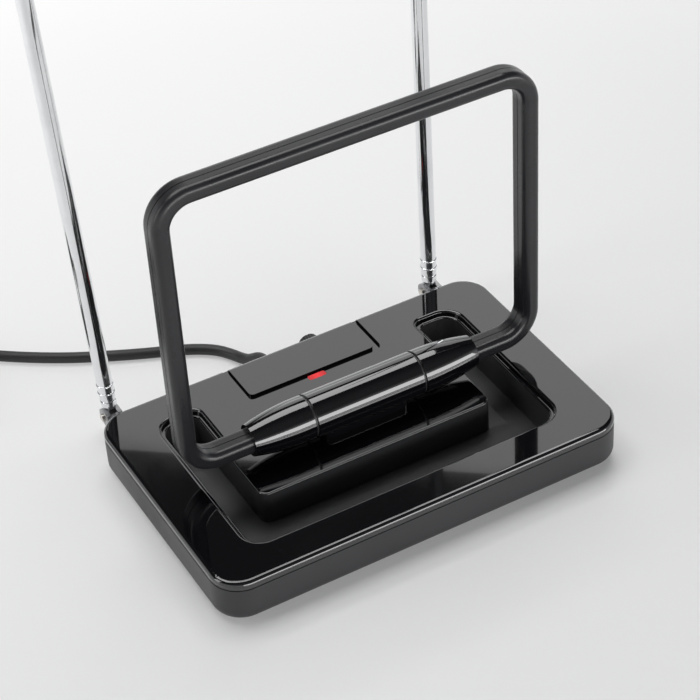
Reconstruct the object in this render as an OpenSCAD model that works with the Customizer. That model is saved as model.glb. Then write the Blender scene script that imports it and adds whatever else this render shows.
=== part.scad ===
/* [Base] */
// width of the base from side to side, mm
base_w = 186; // [170:1:210]
// depth of the base from front to back, mm
base_d = 120; // [112:1:140]
// height of the top face above the table, mm
base_h = 22; // [21:0.5:26]
// radius of the upright corners of the base, mm
corner_r = 13; // [10:0.5:15]
// radius of the rounding along the top edge of the cover, mm
edge_r = 2; // [1:0.1:2.8]
// height of the cover skirt seen above the seam, mm
skirt_h = 3.5; // [3.2:0.1:5]
// radius of the rounding along the bottom edge of the tray, mm
tray_r = 4.5; // [3:0.5:5]
// how far the rubber feet stand below the tray, mm
foot_h = 1.4; // [1:0.1:2.5]

/* [Well] */
// width of the well in the top, mm
well_w = 145.2; // [138:1:150]
// distance from the base centre to the front edge of the well, mm
well_front = 43.1; // [38:0.5:47]
// distance from the base centre to the back edge of the well, mm
well_back = 44; // [40:0.5:45]
// width of the raised tongue behind the hub, mm
tongue_w = 105.2; // [96:1:112]
// distance from the base centre to the front edge of the hub platform, mm
platform_front = 17.6; // [14:0.5:22]
// drop from the top face to the platform and the ledge, mm
step_h = 2; // [1.5:0.1:2.6]

/* [Hub] */
// height of the swivel axis above the table, mm
hub_z = 32.2; // [31.8:0.1:35]
// distance of the swivel axis behind the base centre, mm
hub_y = 2.6; // [0:0.2:5]
// distance of the swivel assembly to the right of the middle, mm
hub_x = 4; // [0:0.5:5]
// diameter of the fixed barrel, mm
barrel_d = 19.4; // [18:0.2:20.2]
// length of the fixed barrel, mm
barrel_l = 50.4; // [46:0.4:56]
// length of each tapered end piece, mm
taper_l = 26.6; // [24:0.2:30]
// diameter at the outer end of each tapered end piece, mm
taper_end_d = 13.8; // [13.4:0.2:15]

/* [Loop] */
// width between the centre lines of the loop arms, mm
loop_w = 161; // [150:1:180]
// height of the loop between the centre lines of its bars, mm
loop_h = 129; // [110:1:150]
// thickness of the loop tube in the plane of the loop, mm
tube_t = 7.6; // [7:0.1:8.4]
// depth of the loop tube from front to back, mm
tube_d = 11; // [10:0.2:11.6]
// bend radius of the loop on its centre line, mm
bend_r = 13; // [9:0.5:18]

/* [Rods] */
// distance of each rod from the side wall, mm
rod_in = 13.5; // [13:0.5:19]
// distance of the rod axis behind the rear wall, mm
rod_back = 15; // [13:0.5:20]
// height of the fold pivot above the table, mm
rod_z = 8.5; // [7.5:0.5:10]
// outer diameter of the widest rod section, mm
rod_d = 7; // [6.6:0.1:7.6]
// length of the widest rod section, mm
rod_l = 220; // [180:5:260]
// outward lean of the left rod at rest, degrees
left_lean = 2.4; // [0:0.2:2.6]

/* [Knob and cable] */
// distance of the gain knob to the right of the middle, mm
knob_x = 13; // [10:0.5:16]
// height of the gain knob axis above the table, mm
knob_z = 11.4; // [11.2:0.1:13.4]
// diameter of the gain knob, mm
knob_d = 10; // [9:0.5:11]
// length of the gain knob, mm
knob_l = 8; // [6:0.5:12]
// diameter of the coaxial cable, mm
cable_d = 5; // [4:0.1:5.2]

/* [Hidden] */
$fn = 48;
// back reach of the rod pivots decides where the frame origin lies
wall_y = base_d / 2;
pivot_y = wall_y + rod_back;
cheek_r = 4;
rod_x = base_w / 2 - rod_in;
yo = -(pivot_y + cheek_r - base_d / 2) / 2;
wall = 2;
tray_floor = 1.5;
tray_top = base_h - skirt_h - 0.5;
skirt_z = base_h - skirt_h;
plate_z = base_h - 2.2;
step_z = base_h - step_h;
floor_in = foot_h + tray_floor;
well_floor = floor_in + 1.5;
tub_floor = floor_in + 0.3;
ledge = 1.8;
tub_wall = 1.8;
well_r = 9;
notch_r = 4;
well_d = well_front + well_back;
well_cy = (well_back - well_front) / 2;
platform_w = tongue_w + 3.6;
tongue_front = hub_y + 10;
lip_r = 1.2;
step_r = 0.8;
boss_x = base_w / 2 - 10;
boss_y = base_d / 2 - 12;
boss_z = 11;
screw_r = 1.4;
bore_r = 4;
washer_t = 0.8;
taper_x = barrel_l / 2 + washer_t + 0.08;
taper_end = taper_x + taper_l;
socket_l = 7;
shell_t = 1.3;
cond_r = tube_t / 2 - shell_t - 0.05;
tube_r = 2.8;
// the board keeps its place behind the rear wall
board_cy = wall_y - 25;
board_d = 38;
board_rows = [board_cy - 13, board_cy + 11];
board_z = floor_in + 2.8;
board_t = 1.6;
board_top = board_z + board_t;
led_y = board_cy;
led_w = 8.4;
led_d = 3.2;
panel_w = 63;
panel_y = board_cy + 0.5;
groove_w = 2.9;
groove_h = 1.4;
// the wall carries a flat seat for each rod nut, level with the start of the corner curve
seat_dx = max(0, rod_x + 5.2 - (base_w / 2 - corner_r));
seat_y = wall_y - corner_r + sqrt(pow(corner_r - wall, 2) - seat_dx * seat_dx) - 0.1;
seat_t = wall_y - wall - min(seat_y, wall_y - wall - 0.5);
gland_x = -8;
gland_z = 10.5;
gland_out = 7;
// rod sections, widest first, each runs 0.1 mm clear inside the one before
rods_od = [rod_d, rod_d - 1.2, rod_d - 2.3, rod_d - 3.4, rod_d - 4.4];
rod_wall = 0.5;
rod_foot = 12;
// resting path of the cable, by hand, from the gland to the coil
route = [[-8, 67, 10.5], [-8.15, 70, 10.2], [-8.7, 74, 8.77], [-9.4, 77.2, 6.5],
    [-10.4, 80.4, 4.25], [-11.9, 84.4, 2.85], [-14.2, 89.5, 2.5], [-18.4, 95.6, 2.5],
    [-25, 101, 2.5], [-33, 105.5, 2.5], [-43, 110, 2.5], [-53, 114.8, 2.5], [-63, 120, 2.5],
    [-74.5, 126.4, 2.5], [-87, 134.5, 2.5], [-99.7, 144, 2.5], [-112.4, 154.7, 2.5],
    [-119.4, 160.6, 2.8], [-125.7, 166, 3.3]];
// four turns lie on the table with three on top of them, the tail leaves the top layer
turn_r = 28.5;
turn_z = 3.3;
coil_c = [-150, 139.5];
tail = [[-186, 139.5, 8.28], [-186, 129.5, 8], [-186, 119.5, 6.5], [-186, 110.5, 5.6]];
plug_x = -186;
plug_y = 110.5;
plug_z = 5.6;

gloss_black = [0.03, 0.03, 0.035];
satin_black = [0.09, 0.09, 0.095];
chrome = [0.8, 0.8, 0.82];
steel = [0.62, 0.63, 0.65];
brass = [0.78, 0.62, 0.3];

// rounded rectangle of straight sides and true arcs
module rrect(w, d, r) {
    square([w - 2 * r, d], center = true);
    square([w, d - 2 * r], center = true);
    for (x = [-1, 1])
        for (y = [-1, 1])
            translate([x * (w / 2 - r), y * (d / 2 - r)])
                circle(r = r);
}

// carries a profile round a rounded rectangle, profile x runs outward from the corner centre
module rim_sweep(w, d, r) {
    for (i = [0:3])
        translate([(i == 0 || i == 3 ? 1 : -1) * (w / 2 - r), (i < 2 ? 1 : -1) * (d / 2 - r), 0])
            rotate([0, 0, 90 * i])
                rotate_extrude(angle = 90)
                    children();
    for (s = [0, 180])
        rotate([0, 0, s])
            translate([w / 2 - r, 0, 0])
                rotate([90, 0, 0])
                    translate([0, 0, -(d / 2 - r)])
                        linear_extrude(height = d - 2 * r)
                            children();
    for (s = [90, 270])
        rotate([0, 0, s])
            translate([d / 2 - r, 0, 0])
                rotate([90, 0, 0])
                    translate([0, 0, -(w / 2 - r)])
                        linear_extrude(height = w - 2 * r)
                            children();
}

// corner piece taken off an outer edge, e is the rounding radius, up is 1 at a top edge
module edge_off(r, e, up) {
    difference() {
        translate([r - e, up > 0 ? -e : -1])
            square([e + 1, e + 1]);
        translate([r - e, up > 0 ? -e : e])
            circle(r = e);
    }
}

// corner piece taken off the lip of a hole
module lip_off(r, e) {
    difference() {
        translate([r - 0.5, -e])
            square([e + 0.5, e + 1]);
        translate([r + e, -e])
            circle(r = e);
    }
}

// straight lip cutter along Y, the hole lies on the side of positive X
module side_lip(x, y0, y1) {
    translate([x, y1, base_h])
        rotate([90, 0, 0])
            linear_extrude(height = y1 - y0)
                mirror([1, 0])
                    lip_off(0, lip_r);
}

module well_plan(grow) {
    translate([0, well_cy])
        rrect(well_w + 2 * grow, well_d + 2 * grow, well_r + grow);
}

// rounds the inner back corner of each side well
module notch_corners(x, y, r) {
    for (s = [0, 1])
        mirror([s, 0])
            difference() {
                translate([x - 0.5, y - r])
                    square([r + 0.5, r + 0.5]);
                translate([x + r, y - r])
                    circle(r = r);
            }
}

module tongue_plan() {
    translate([-tongue_w / 2, tongue_front])
        square([tongue_w, well_back + 5 - tongue_front]);
    notch_corners(tongue_w / 2, well_back, notch_r);
}

module platform_plan(grow) {
    w = platform_w + 2 * grow;
    f = platform_front + grow;
    translate([0, (wall_y - f) / 2])
        rrect(w, wall_y + f, 4 + grow);
}

// rounds the platform's free top edge and the ledge that faces it
module platform_round() {
    intersection() {
        translate([0, (wall_y - platform_front) / 2, step_z])
            rim_sweep(platform_w, wall_y + platform_front, 4)
                edge_off(4, step_r, 1);
        translate([-base_w / 2, -wall_y, 0])
            cube([base_w, wall_y + well_back - notch_r, base_h]);
    }
    difference() {
        translate([0, well_cy, step_z])
            rim_sweep(well_w - 2 * ledge, well_d - 2 * ledge, well_r - ledge)
                lip_off(well_r - ledge, step_r);
        translate([-tongue_w / 2 - notch_r, 0, 0])
            cube([tongue_w + 2 * notch_r, base_d, base_h + 5]);
    }
}

module cover_body() {
    translate([0, 0, plate_z])
        linear_extrude(height = base_h - plate_z)
            rrect(base_w, base_d, corner_r);
    translate([0, 0, skirt_z])
        linear_extrude(height = plate_z - skirt_z)
            difference() {
                rrect(base_w, base_d, corner_r);
                rrect(base_w - 7.2, base_d - 7.2, corner_r - 3.6);
            }
    translate([0, 0, skirt_z - 2.2])
        linear_extrude(height = 2.2)
            difference() {
                rrect(base_w - 4.4, base_d - 4.4, corner_r - 2.2);
                rrect(base_w - 7.2, base_d - 7.2, corner_r - 3.6);
            }
    translate([0, 0, tub_floor])
        linear_extrude(height = plate_z - tub_floor)
            well_plan(tub_wall - ledge);
    for (x = [-1, 1])
        for (y = [-1, 1])
            translate([x * boss_x, y * boss_y, boss_z])
                cylinder(r = 3, h = plate_z - boss_z);
}

module groove_path() {
    difference() {
        translate([0, panel_y + 15 + groove_w / 2])
            rrect(panel_w + groove_w, 30 + groove_w, 4);
        translate([0, panel_y + 15 + groove_w])
            rrect(panel_w - groove_w, 30, 2);
    }
}

module top_cover() {
    color(gloss_black)
        translate([0, yo, 0])
            difference() {
                cover_body();
                translate([0, 0, base_h])
                    rim_sweep(base_w, base_d, corner_r)
                        edge_off(corner_r, edge_r, 1);
                translate([0, 0, step_z])
                    linear_extrude(height = step_h + 1)
                        difference() {
                            well_plan(0);
                            tongue_plan();
                        }
                translate([0, 0, well_floor])
                    linear_extrude(height = base_h - well_floor - step_h + 0.5)
                        difference() {
                            well_plan(-ledge);
                            platform_plan(0);
                            notch_corners(platform_w / 2, well_back - ledge, notch_r - ledge);
                        }
                translate([0, 0, tub_floor - 1])
                    linear_extrude(height = step_z - 1.8 - tub_floor + 1)
                        intersection() {
                            platform_plan(-tub_wall);
                            translate([-platform_w, -wall_y])
                                square([2 * platform_w, wall_y + well_back + 4]);
                        }
                difference() {
                    translate([0, well_cy, base_h])
                        rim_sweep(well_w, well_d, well_r)
                            lip_off(well_r, lip_r);
                    translate([-tongue_w / 2 - notch_r, 0, 0])
                        cube([tongue_w + 2 * notch_r, base_d, base_h + 5]);
                }
                platform_round();
                for (s = [0, 1])
                    mirror([s, 0, 0]) {
                        side_lip(tongue_w / 2, tongue_front, well_back - notch_r);
                        translate([tongue_w / 2 + notch_r, well_back - notch_r, base_h])
                            rotate([0, 0, 90])
                                rotate_extrude(angle = 90)
                                    lip_off(notch_r, lip_r);
                    }
                translate([0, 0, base_h - groove_h])
                    linear_extrude(height = 2)
                        groove_path();
                translate([0, led_y, step_z - 5])
                    linear_extrude(height = 10)
                        rrect(led_w, led_d, 1);
                for (x = [-1, 1])
                    for (y = [-1, 1])
                        translate([x * boss_x, y * boss_y, boss_z - 1])
                            cylinder(r = screw_r, h = 9);
                for (x = [-12, 12])
                    translate([hub_x + x, hub_y, step_z - 5])
                        cylinder(r = screw_r + 0.1, h = 6);
            }
}

module tray_body() {
    translate([0, 0, foot_h])
        linear_extrude(height = tray_top - foot_h)
            rrect(base_w, base_d, corner_r);
}

foot_pos = [[-base_w / 2 + 30, -base_d / 2 + 14], [base_w / 2 - 30, -base_d / 2 + 14],
    [-base_w / 2 + 30, base_d / 2 - 14], [base_w / 2 - 30, base_d / 2 - 14]];

module base_tray() {
    color(satin_black)
        translate([0, yo, 0])
            difference() {
                union() {
                    difference() {
                        tray_body();
                        translate([0, 0, foot_h])
                            rim_sweep(base_w, base_d, corner_r)
                                edge_off(corner_r, tray_r, -1);
                        translate([0, 0, floor_in])
                            linear_extrude(height = tray_top)
                                rrect(base_w - 2 * wall, base_d - 2 * wall, corner_r - wall);
                    }
                    for (x = [-1, 1])
                        for (y = [-1, 1])
                            translate([x * boss_x, y * boss_y, floor_in - 0.5])
                                cylinder(r = 3.6, h = boss_z - floor_in + 0.5);
                    for (x = [-1, 1])
                        for (y = board_rows)
                            translate([x * 36, y, floor_in - 0.5])
                                cylinder(r = 2.6, h = board_z - floor_in + 0.5);
                    for (x = [-1, 1])
                        translate([x * rod_x, wall_y - wall - seat_t, rod_z])
                            rotate([-90, 0, 0])
                                cylinder(r = 5.2, h = seat_t + 0.8);
                }
                for (x = [-1, 1])
                    for (y = [-1, 1])
                        translate([x * boss_x, y * boss_y, 0]) {
                            cylinder(r = screw_r + 0.15, h = boss_z + 1);
                            cylinder(r = 2.8, h = foot_h + 3.2);
                        }
                for (p = foot_pos)
                    translate([p[0], p[1], 0])
                        cylinder(r = 6.1, h = foot_h + 0.8);
                for (x = [-1, 1])
                    for (y = board_rows)
                        translate([x * 36, y, board_z - 1.9])
                            cylinder(r = 1, h = 4);
                for (x = [-1, 1])
                    translate([x * rod_x, wall_y - wall - 5, rod_z])
                        rotate([-90, 0, 0])
                            cylinder(r = 3.05, h = wall + 6);
                translate([gland_x, wall_y - wall - 1, gland_z])
                    rotate([-90, 0, 0])
                        cylinder(r = 4, h = wall + 2);
                translate([knob_x, wall_y - wall - 1, knob_z])
                    rotate([-90, 0, 0])
                        cylinder(r = 3.6, h = wall + 2);
            }
}

module foot(i) {
    color([0.05, 0.05, 0.05])
        translate([foot_pos[i][0], foot_pos[i][1] + yo, 0])
            difference() {
                cylinder(r = 6, h = foot_h + 0.8);
                rotate_extrude()
                    edge_off(6, 0.6, -1);
            }
}

module foot_front_left() {
    foot(0);
}

module foot_front_right() {
    foot(1);
}

module foot_rear_left() {
    foot(2);
}

module foot_rear_right() {
    foot(3);
}

// pan head screw pointing up from z = 0, slotted by a cross
module screw(r, l, head_r, head_h) {
    difference() {
        union() {
            translate([0, 0, head_h])
                cylinder(r = r, h = l);
            cylinder(r = head_r, h = head_h);
        }
        for (a = [0, 90])
            rotate([0, 0, a])
                translate([-head_r * 0.7, -0.3, -1])
                    cube([head_r * 1.4, 0.6, 1.7]);
    }
}

module case_screws() {
    color(steel)
        for (x = [-1, 1])
            for (y = [-1, 1])
                translate([x * boss_x, y * boss_y + yo, foot_h + 1.4])
                    screw(screw_r - 0.02, boss_z + 4 - foot_h, 2.6, 1.8);
}

module ballast_plate() {
    front = 4.6 - platform_front;
    back = board_cy - board_d / 2 - 1;
    color(steel)
        translate([0, yo, floor_in])
            linear_extrude(height = 5)
                translate([0, (front + back) / 2])
                    rrect(tongue_w - 13.2, back - front, 3);
}

module circuit_board() {
    color([0.05, 0.3, 0.14])
        translate([0, yo, board_z])
            linear_extrude(height = board_t)
                difference() {
                    translate([0, board_cy])
                        rrect(86, board_d, 1.5);
                    for (x = [-1, 1])
                        for (y = board_rows)
                            translate([x * 36, y])
                                circle(r = 1.2);
                }
}

module board_screws() {
    color(steel)
        for (x = [-1, 1])
            for (y = board_rows)
                translate([x * 36, y + yo, board_top + 1.4])
                    mirror([0, 0, 1])
                        screw(0.98, 3.4, 2, 1.4);
}

module shield_can() {
    color(steel)
        translate([-22, board_cy - 5 + yo, board_top])
            difference() {
                translate([-11, -9, 0])
                    cube([22, 18, 5.5]);
                translate([-10.7, -8.7, -1])
                    cube([21.4, 17.4, 6.2]);
            }
}

module led_chip() {
    color([0.9, 0.85, 0.75])
        translate([-1.6, led_y - 1 + yo, board_top])
            cube([3.2, 2, 1.2]);
}

module led_window() {
    color([0.85, 0.05, 0.08])
        translate([0, led_y + yo, board_top + 1.2])
            linear_extrude(height = base_h - 0.1 - board_top - 1.2)
                rrect(led_w - 0.2, led_d - 0.2, 0.9);
}

module gain_pot() {
    color([0.2, 0.2, 0.22])
        translate([knob_x, yo, 0]) {
            difference() {
                union() {
                    translate([-5, wall_y - 15, board_top])
                        cube([10, 9, 9.4]);
                    translate([0, wall_y - 6, knob_z])
                        rotate([-90, 0, 0])
                            cylinder(r = 3.4, h = 5.7);
                }
                translate([0, wall_y - 10, knob_z])
                    rotate([-90, 0, 0])
                        cylinder(r = 2.06, h = 20);
            }
        }
}

module gain_shaft() {
    color(steel)
        translate([knob_x, wall_y - 9.8 + yo, knob_z])
            rotate([-90, 0, 0])
                cylinder(r = 2, h = knob_l + 8);
}

module gain_knob() {
    n = 24;
    color([0.06, 0.06, 0.065])
        translate([knob_x, wall_y + 0.5 + yo, knob_z])
            rotate([-90, 0, 0])
                difference() {
                    cylinder(r = knob_d / 2, h = knob_l);
                    translate([0, 0, knob_l])
                        rotate_extrude()
                            edge_off(knob_d / 2, 0.8, 1);
                    for (i = [0:n - 1])
                        rotate([0, 0, i * 360 / n])
                            translate([knob_d / 2 + 0.1, 0, 1])
                                cylinder(r = 0.42, h = knob_l, $fn = 16);
                    translate([0, 0, -1])
                        cylinder(r = 2.05, h = knob_l - 0.5);
                    translate([-0.35, -knob_d, knob_l - 0.5])
                        cube([0.7, knob_d - 1.5, 2]);
                }
}

module coax_clamp() {
    color(steel)
        translate([gland_x, yo, 0])
            difference() {
                translate([-4.5, wall_y - 16, board_top])
                    cube([9, 8, gland_z + 3.6 - board_top]);
                translate([0, wall_y - 20, gland_z])
                    rotate([-90, 0, 0])
                        cylinder(r = 2.55, h = 20);
            }
}

module cable_gland() {
    color([0.07, 0.07, 0.07])
        translate([gland_x, wall_y + yo, gland_z])
            rotate([-90, 0, 0])
                rotate_extrude()
                    polygon([[0, -wall - 8], [2.5, -wall - 8], [2.5, -wall - 2.2],
                        [2.9, -wall - 2.2], [5.2, -wall - 1.6], [5.2, -wall - 0.05],
                        [3.95, -wall - 0.05], [3.95, 0.05], [5.4, 0.05], [5.4, 1.2], [4.5, 1.6],
                        [4.5, 2.4], [3.8, 2.4], [3.8, 3], [4.3, 3], [4.2, 4.2], [3.6, 4.2],
                        [3.6, 4.8], [4, 4.8], [3.8, 6], [3.2, gland_out], [0, gland_out]]);
}

// saddle and barrel are one moulding, the saddle stands on the platform
module hub_barrel() {
    color(gloss_black)
        translate([hub_x, hub_y + yo, 0])
            difference() {
                union() {
                    translate([-barrel_l / 2, 0, hub_z])
                        rotate([0, 90, 0])
                            cylinder(r = barrel_d / 2, h = barrel_l, $fn = 96);
                    translate([0, 0, step_z])
                        linear_extrude(height = hub_z - step_z - 5)
                            rrect(40, 9, 3);
                }
                translate([-barrel_l, 0, hub_z])
                    rotate([0, 90, 0])
                        cylinder(r = bore_r + 0.05, h = 2 * barrel_l);
                for (x = [-12, 12])
                    translate([x, 0, step_z - 1])
                        cylinder(r = screw_r, h = 6);
                for (s = [-1, 1])
                    translate([s * barrel_l / 2, 0, hub_z])
                        rotate([0, s * 90, 0])
                            rotate_extrude($fn = 96)
                                edge_off(barrel_d / 2, 0.35, 1);
            }
}

module hub_screws() {
    color(steel)
        for (x = [-12, 12])
            translate([hub_x + x, hub_y + yo, step_z - 3.2])
                screw(screw_r - 0.02, 5.8, 2.6, 1.4);
}

module washer(s) {
    color([0.04, 0.04, 0.04])
        translate([hub_x + s * (barrel_l / 2 + washer_t / 2), hub_y + yo, hub_z])
            rotate([0, 90, 0])
                difference() {
                    cylinder(r = barrel_d / 2 - 0.7, h = washer_t, center = true);
                    cylinder(r = bore_r + 0.05, h = 5, center = true);
                }
}

module washer_left() {
    washer(-1);
}

module washer_right() {
    washer(1);
}

module spindle() {
    color(steel)
        translate([hub_x, hub_y + yo, hub_z])
            rotate([0, 90, 0])
                cylinder(r = bore_r, h = 2 * (taper_end - socket_l - 1), center = true);
}

// bulged end piece, turned from one arc, with a socket for the loop tube
module taper(s) {
    r0 = barrel_d / 2 - 0.05;
    r1 = taper_end_d / 2;
    sag = 0.9;
    chord = sqrt(taper_l * taper_l + (r0 - r1) * (r0 - r1));
    big = (chord * chord / 4 + sag * sag) / (2 * sag);
    ang = atan2(r0 - r1, taper_l);
    mid = [(r0 + r1) / 2, taper_l / 2];
    cen = [mid[0] - (big - sag) * cos(ang), mid[1] - (big - sag) * sin(ang)];
    color(gloss_black)
        translate([hub_x + s * taper_x, hub_y + yo, hub_z])
            rotate([0, s * 90, 0])
                difference() {
                    rotate_extrude($fn = 96)
                        intersection() {
                            translate([0, 0])
                                square([r0 + 2, taper_l]);
                            translate(cen)
                                circle(r = big, $fn = 360);
                        }
                    translate([0, 0, -1])
                        cylinder(r = bore_r + 0.03, h = taper_l - socket_l + 1);
                    rotate_extrude($fn = 96)
                        edge_off(r0, 0.3, -1);
                    translate([0, 0, taper_l - socket_l])
                        linear_extrude(height = socket_l + 1)
                            rrect(tube_t + 0.1, tube_d + 0.1, tube_r);
                }
}

module taper_left() {
    taper(-1);
}

module taper_right() {
    taper(1);
}

// follows the loop from socket to socket, the profile has x in the plane of the loop
module loop_path() {
    hw = loop_w / 2;
    low = hw - bend_r - taper_end + socket_l - 0.3;
    for (s = [-1, 1]) {
        translate([s * (hw - bend_r), 0, 0])
            rotate([0, -s * 90, 0])
                linear_extrude(height = low)
                    children();
        translate([s * hw, 0, bend_r])
            linear_extrude(height = loop_h - 2 * bend_r)
                children();
        for (t = [0, 1])
            translate([s * (hw - bend_r), 0, t > 0 ? loop_h - bend_r : bend_r])
                rotate([90, 0, 0])
                    rotate([0, 0, s > 0 ? (t > 0 ? 0 : -90) : (t > 0 ? 90 : 180)])
                        rotate_extrude(angle = 90)
                            translate([bend_r, 0])
                                children();
    }
    translate([-(hw - bend_r), 0, loop_h])
        rotate([0, 90, 0])
            linear_extrude(height = 2 * (hw - bend_r))
                children();
}

module loop_front_shell() {
    color(satin_black)
        translate([hub_x, hub_y + yo, hub_z])
            mirror([0, 1, 0])
                loop_half();
}

module loop_rear_shell() {
    color(satin_black)
        translate([hub_x, hub_y + yo, hub_z])
            loop_half();
}

// rear half of the loop tube, standing on the swivel axis
module loop_half() {
    intersection() {
        loop_path()
            difference() {
                rrect(tube_t, tube_d, tube_r);
                rrect(tube_t - 2 * shell_t, tube_d - 2 * shell_t, tube_r - shell_t);
                for (x = [-1, 1])
                    translate([x * tube_t / 2, 0])
                        square([0.6, 0.36], center = true);
            }
        translate([-200, 0, -50])
            cube([400, 40, 400]);
    }
}

module loop_conductor() {
    color([0.78, 0.78, 0.8])
        translate([hub_x, hub_y + yo, hub_z])
            loop_path()
                difference() {
                    circle(r = cond_r);
                    circle(r = cond_r - 0.5);
                }
}

// places a rod part, s is -1 for the left rod, the lean turns about the stub axis
module rod_at(s, lean) {
    translate([s * rod_x, pivot_y + yo, rod_z])
        rotate([0, s < 0 ? -lean : 0, 0])
            children();
}

// clevis on a round shank that turns in the rear wall
module rod_stub(s) {
    color(chrome)
        rod_at(s, left_lean)
            difference() {
                union() {
                    translate([0, -rod_back - wall - seat_t - 3.6, 0])
                        rotate([-90, 0, 0])
                            cylinder(r = 3, h = wall + seat_t + 4);
                    translate([0, -rod_back + 0.1, 0])
                        rotate([-90, 0, 0])
                            cylinder(r = 4.2, h = rod_back - 4.8);
                    translate([-3.6, -5.2, -cheek_r])
                        cube([7.2, 5.2, 2 * cheek_r]);
                    translate([-3.6, 0, 0])
                        rotate([0, 90, 0])
                            cylinder(r = cheek_r, h = 7.2);
                }
                translate([-1.7, -4.6, -10])
                    cube([3.4, 20, 20]);
                translate([-10, 0, 0])
                    rotate([0, 90, 0])
                        cylinder(r = 1.35, h = 20);
            }
}

module rod_nut(s) {
    color(steel)
        rod_at(s, left_lean)
            translate([0, -rod_back - wall - seat_t - 0.1, 0])
                rotate([90, 0, 0])
                    difference() {
                        union() {
                            cylinder(r = 4.9, h = 0.6);
                            translate([0, 0, 0.6])
                                cylinder(r = 4.2, h = 1.8);
                        }
                        translate([0, 0, -1])
                            cylinder(r = 3, h = 6);
                    }
}

// stiff wire from the stub nut to the board, with a ring tag and a bent foot
module rod_wire(s) {
    x1 = s * rod_x;
    x2 = s * 40;
    y1 = wall_y - wall - seat_t - 3.1;
    color([0.7, 0.4, 0.2])
        translate([0, yo, 0]) {
            difference() {
                translate([x1, y1 + 0.3, rod_z])
                    rotate([90, 0, 0])
                        cylinder(r = 4.6, h = 0.6);
                translate([x1, y1 + 1, rod_z])
                    rotate([90, 0, 0])
                        cylinder(r = 3.1, h = 3);
            }
            translate([min(x1 - s * 3.8, x2), y1, rod_z])
                rotate([0, 90, 0])
                    cylinder(r = 0.5, h = abs(x1 - s * 3.8 - x2));
            translate([x2, y1 + 0.4, rod_z])
                rotate([90, 0, 0])
                    cylinder(r = 0.5, h = 3.3);
            translate([x2, y1 - 2.4, board_top])
                cylinder(r = 0.9, h = rod_z + 0.3 - board_top);
        }
}

module rod_rivet(s) {
    color(brass)
        rod_at(s, left_lean)
            rotate([0, 90, 0]) {
                cylinder(r = 1.3, h = 7.6, center = true);
                for (t = [-1, 1])
                    translate([0, 0, t * 4.05])
                        cylinder(r = 1.75, h = 0.9, center = true);
            }
}

// section i of a rod, 0 is the widest and carries the folding eye
module rod_section(s, i) {
    od = rods_od[i];
    z0 = rod_foot + (i == 0 ? 0 : 1.2 * i);
    len = i == 0 ? rod_l : rod_l + 2.4 * i;
    color(chrome)
        rod_at(s, left_lean) {
            difference() {
                translate([0, 0, z0])
                    cylinder(r = od / 2, h = len - (i == 0 ? 0 : 1.2 * i));
                if (i < 4)
                    translate([0, 0, z0 + (i == 0 ? 0.8 : 1)])
                        cylinder(r = od / 2 - rod_wall + (i == 0 ? 0 : 0.05), h = len + 5);
            }
            if (i == 0) {
                difference() {
                    union() {
                        translate([0, 0, 6.4])
                            cylinder(r = rod_d / 2 - 0.1, h = rod_foot - 6.4);
                        translate([-1.6, -3.2, 0])
                            cube([3.2, 6.4, 7]);
                        translate([-1.6, 0, 0])
                            rotate([0, 90, 0])
                                cylinder(r = 3.2, h = 3.2);
                    }
                    translate([-10, 0, 0])
                        rotate([0, 90, 0])
                            cylinder(r = 1.35, h = 20);
                    translate([0, 0, 9.4])
                        rotate_extrude()
                            translate([rod_d / 2, 0])
                                circle(r = 0.55);
                }
            }
        }
}

module rod_tip(s) {
    color(chrome)
        rod_at(s, left_lean)
            translate([0, 0, rod_foot + rod_l + 7.4])
                difference() {
                    union() {
                        cylinder(r = 2.5, h = 5.4);
                        translate([0, 0, 5.4])
                            sphere(r = 2.5);
                    }
                    translate([0, 0, -1])
                        cylinder(r = rods_od[4] / 2 + 0.01, h = 3.2);
                }
}

module rod_left_stub() {
    rod_stub(-1);
}

module rod_left_nut() {
    rod_nut(-1);
}

module rod_left_wire() {
    rod_wire(-1);
}

module rod_left_rivet() {
    rod_rivet(-1);
}

module rod_left_section_1() {
    rod_section(-1, 0);
}

module rod_left_section_2() {
    rod_section(-1, 1);
}

module rod_left_section_3() {
    rod_section(-1, 2);
}

module rod_left_section_4() {
    rod_section(-1, 3);
}

module rod_left_section_5() {
    rod_section(-1, 4);
}

module rod_left_tip() {
    rod_tip(-1);
}

module rod_right_stub() {
    rod_stub(1);
}

module rod_right_nut() {
    rod_nut(1);
}

module rod_right_wire() {
    rod_wire(1);
}

module rod_right_rivet() {
    rod_rivet(1);
}

module rod_right_section_1() {
    rod_section(1, 0);
}

module rod_right_section_2() {
    rod_section(1, 1);
}

module rod_right_section_3() {
    rod_section(1, 2);
}

module rod_right_section_4() {
    rod_section(1, 3);
}

module rod_right_section_5() {
    rod_section(1, 4);
}

module rod_right_tip() {
    rod_tip(1);
}

function blend_pt(a, b, c, d, t) = 0.5 * (2 * b + (c - a) * t + (2 * a - 5 * b + 4 * c - d) * t * t
    + (3 * b - a - 3 * c + d) * t * t * t);

function at_pt(p, i) = p[max(0, min(len(p) - 1, i))];

function smooth(p, k) = concat([for (i = [0:len(p) - 2]) for (j = [0:k - 1])
    blend_pt(at_pt(p, i - 1), p[i], p[i + 1], at_pt(p, i + 2), j / k)], [p[len(p) - 1]]);

function unit(v) = v / norm(v);

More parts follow.
